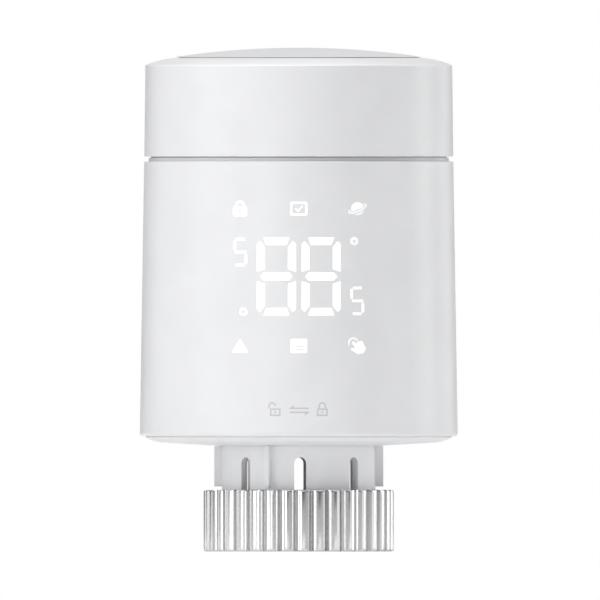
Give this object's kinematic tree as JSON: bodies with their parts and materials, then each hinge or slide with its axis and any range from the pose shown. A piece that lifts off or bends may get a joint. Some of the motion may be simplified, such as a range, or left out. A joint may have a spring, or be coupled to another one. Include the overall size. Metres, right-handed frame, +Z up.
{
  "type": "thermostatic radiator valve head",
  "caption": "Motorised radiator valve head: round housing with lit display, turning dial with push button, slotted collar and knurled union nut.",
  "frame": {"origin": "centre of the union nut's lower rim", "axes": "+Z up the valve's axis towards the dial, -Y out of the display, +X to the right of someone facing the display"},
  "size_m": [0.0568, 0.0568, 0.09],
  "materials": {
    "white_shell": "satin moulded ABS",
    "white_button": "satin moulded ABS, slightly greyer",
    "collar_white": "moulded glass-filled nylon",
    "nickel_plate": "bright nickel plate on brass",
    "lit_white": "diffuser, lit white",
    "printed_grey": "printed ink",
    "zinc_steel": "zinc plated",
    "spring_steel": "nickel plated sheet and wire",
    "black_plastic": "moulded",
    "battery_jacket": "printed jacket with no label text",
    "acetal": "moulded acetal",
    "brass": "turned",
    "motor_steel": "drawn steel can",
    "reflector_white": "matte",
    "led_package": "clear over phosphor",
    "circuit_board": "solder mask",
    "chip_black": "moulded epoxy",
    "shield_can": "tinned",
    "cable_jacket": "PVC",
    "flex_cable": "polyimide",
    "ferrite": "sintered"
  },
  "bodies": {
    "base": {"valve_collar": "collar_white", "base_cover": "white_shell", "base_screws": "zinc_steel"},
    "union_nut": {"union_nut": "nickel_plate"},
    "output_gear": {"output_gear": "acetal"},
    "gear_2": {"reduction_gear_2": "acetal"},
    "gear_1": {"reduction_gear_1": "acetal"},
    "motor_rotor": {"motor_shaft": "zinc_steel", "motor_pinion": "brass"},
    "plunger": {"plunger": "brass"},
    "dial": {"dial": "white_shell", "dial_clip": "spring_steel", "encoder_magnet": "ferrite"},
    "button": {"top_button": "white_button", "switch_stem": "black_plastic", "button_spring": "spring_steel"},
    "body": {"battery_hatch": "black_plastic", "battery_holder": "black_plastic", "battery_leads": "cable_jacket", "battery_left": "battery_jacket", "battery_link_plate": "spring_steel", "battery_right": "battery_jacket", "battery_springs": "spring_steel", "battery_top_contacts": "spring_steel", "board_screws": "zinc_steel", "digit_segments": "lit_white", "display_leds": "led_package", "display_reflector": "reflector_white", "floor_plate": "black_plastic", "floor_screws": "zinc_steel", "gear_axle_1": "zinc_steel", "gear_axle_2": "zinc_steel", "gearbox_case": "black_plastic", "gearbox_cover": "black_plastic", "gearbox_screws": "zinc_steel", "half_degree_segments": "lit_white", "hall_sensor": "chip_black", "housing": "white_shell", "lock_marks": "printed_grey", "main_board": "circuit_board", "microcontroller": "chip_black", "motor": "motor_steel", "motor_end_cap": "black_plastic", "motor_leads": "cable_jacket", "push_switch": "black_plastic", "radio_module": "shield_can", "ribbon_cable": "flex_cable", "small_board": "circuit_board", "small_board_screws": "zinc_steel", "status_icons": "lit_white", "temperature_sensor": "chip_black", "thrust_washer": "zinc_steel", "top_plate": "black_plastic", "top_plate_screws": "zinc_steel"}
  },
  "joints": [
    {"name": "union_nut_turn", "type": "hinge", "parent": "base", "child": "union_nut", "pos_m": [0, 0, 0.0055], "axis": [0, 0, 1], "continuous": true},
    {"name": "housing_twist", "type": "hinge", "parent": "base", "child": "body", "pos_m": [0, 0, 0.0235], "axis": [0, 0, 1], "range_deg": [-25, 0]},
    {"name": "dial_turn", "type": "hinge", "parent": "body", "child": "dial", "pos_m": [0, 0, 0.08], "axis": [0, 0, 1], "continuous": true},
    {"name": "button_press", "type": "slide", "parent": "dial", "child": "button", "axis": [0, 0, -1], "range_m": [0, 0.0006], "stiffness_N_per_m": 2000, "springref_m": -0.00003, "deforming": ["button_spring"]},
    {"name": "plunger_slide", "type": "slide", "parent": "body", "child": "plunger", "axis": [0, 0, -1], "range_m": [0, 0.0045]},
    {"name": "output_gear_turn", "type": "hinge", "parent": "body", "child": "output_gear", "pos_m": [0, 0, 0.028], "axis": [0, 0, 1], "range_deg": [0, 810]},
    {"name": "gear_2_turn", "type": "hinge", "parent": "body", "child": "gear_2", "pos_m": [0.00866, -0.005, 0.028], "axis": [0, 0, 1], "range_deg": [-2565, 0]},
    {"name": "gear_1_turn", "type": "hinge", "parent": "body", "child": "gear_1", "pos_m": [0.00326, -0.01143, 0.031], "axis": [0, 0, 1], "range_deg": [0, 6412.51]},
    {"name": "motor_turn", "type": "hinge", "parent": "body", "child": "motor_rotor", "pos_m": [-0.00511, -0.0107, 0.034], "axis": [0, 0, 1], "range_deg": [-16031.27, 0]}
  ],
  "couplings": [
    {"joint": "output_gear_turn", "follows": "plunger_slide", "rad_per_m": 3141.6},
    {"joint": "gear_2_turn", "follows": "plunger_slide", "rad_per_m": -9948.4},
    {"joint": "gear_1_turn", "follows": "plunger_slide", "rad_per_m": 24871},
    {"joint": "motor_turn", "follows": "plunger_slide", "rad_per_m": -62177}
  ]
}
